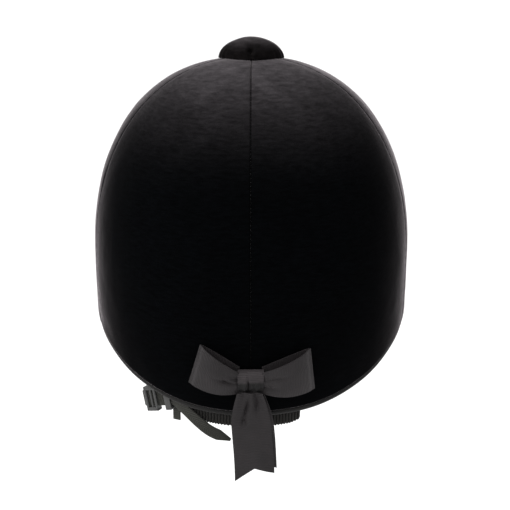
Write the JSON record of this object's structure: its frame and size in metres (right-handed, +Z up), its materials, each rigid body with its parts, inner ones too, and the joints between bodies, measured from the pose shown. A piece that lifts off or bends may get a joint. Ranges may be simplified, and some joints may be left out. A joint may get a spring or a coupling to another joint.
{
  "type": "equestrian riding helmet",
  "caption": "Velvet-covered riding helmet with a covered crown button, short peak, ribbon bow at the nape, padded lining and buckled chin and nape straps.",
  "frame": {"origin": "centre of the head opening on the headband's level, where the helmet is widest", "axes": "+Z up through the crown, -Y towards the peak (the way the wearer faces), +Y towards the bow, +X towards the wearer's left"},
  "size_m": [0.208, 0.3264, 0.2514],
  "materials": {
    "velvet": "black velvet with a short pile",
    "velvet_binding": "black bias binding",
    "shell": "moulded, unpainted",
    "foam": "closed-cell foam",
    "lining": "knitted comfort lining over soft foam",
    "ribbon": "black grosgrain ribbon",
    "webbing": "black woven webbing",
    "buckle": "moulded acetal",
    "steel": "plated steel"
  },
  "bodies": {
    "helmet": {"cover_front_left": "velvet", "cover_front_right": "velvet", "cover_rear_left": "velvet", "cover_rear_right": "velvet", "button_cover": "velvet", "peak_cover": "velvet", "peak_lining": "velvet", "peak_piping": "velvet", "rim_binding": "velvet_binding", "outer_shell": "shell", "button_core": "shell", "peak_core": "foam", "impact_liner": "foam", "crown_pad": "foam", "crown_lining": "lining", "headband": "lining", "bow_knot": "ribbon", "bow_loop_left": "ribbon", "bow_loop_right": "ribbon", "nape_elastic": "webbing", "nape_strap_left": "webbing", "nape_strap_right": "webbing", "nape_strap_tongue": "webbing", "strap_tab": "webbing", "strap_keeper": "buckle", "button_stud": "steel", "button_nut": "steel", "pivot_rivet_left": "steel", "pivot_rivet_right": "steel", "nape_rivet_left": "steel", "nape_rivet_right": "steel"},
    "chin_harness": {"chin_strap_left": "webbing", "chin_strap_right": "webbing", "chin_cup": "lining", "buckle_socket": "buckle"},
    "plug": {"buckle_plug": "buckle"},
    "prong_upper": {"buckle_prong_upper": "buckle"},
    "prong_lower": {"buckle_prong_lower": "buckle"},
    "strap_slide": {"chin_adjuster": "buckle"},
    "nape_slide": {"nape_adjuster": "buckle"},
    "tail_front": {"bow_tail_front": "ribbon"},
    "tail_rear": {"bow_tail_rear": "ribbon"}
  },
  "joints": [
    {"name": "chin_strap_swing", "type": "hinge", "parent": "helmet", "child": "chin_harness", "pos_m": [0, -0.002, -0.026], "axis": [-1, 0, 0], "range_deg": [0, 75]},
    {"name": "buckle_release", "type": "slide", "parent": "chin_harness", "child": "plug", "axis": [-0.3194, 0.8786, -0.355], "range_m": [0, 0.013]},
    {"name": "prong_upper_squeeze", "type": "hinge", "parent": "plug", "child": "prong_upper", "pos_m": [0.06269, 0.03581, -0.03243], "axis": [0.9476, 0.2961, -0.1196], "range_deg": [0, 9], "stiffness_Nm_per_rad": 0.004},
    {"name": "prong_lower_squeeze", "type": "hinge", "parent": "plug", "child": "prong_lower", "pos_m": [0.06269, 0.02967, -0.04764], "axis": [-0.9476, -0.2961, 0.1196], "range_deg": [0, 9], "stiffness_Nm_per_rad": 0.004},
    {"name": "chin_strap_adjust", "type": "slide", "parent": "chin_harness", "child": "strap_slide", "axis": [0.3194, 0.8786, -0.355], "range_m": [-0.01, 0.01]},
    {"name": "nape_strap_adjust", "type": "slide", "parent": "helmet", "child": "nape_slide", "axis": [-0.8469, 0.4854, 0.2169], "range_m": [0, 0.006]},
    {"name": "tail_front_swing", "type": "hinge", "parent": "helmet", "child": "tail_front", "pos_m": [0, 0.1278, -0.062], "axis": [1, 0, 0], "range_deg": [0, 55]},
    {"name": "tail_rear_swing", "type": "hinge", "parent": "helmet", "child": "tail_rear", "pos_m": [0, 0.1278, -0.062], "axis": [1, 0, 0], "range_deg": [0, 55]}
  ],
  "couplings": [
    {"joint": "prong_lower_squeeze", "follows": "prong_upper_squeeze", "ratio": 1},
    {"joint": "tail_rear_swing", "follows": "tail_front_swing", "ratio": 1}
  ]
}
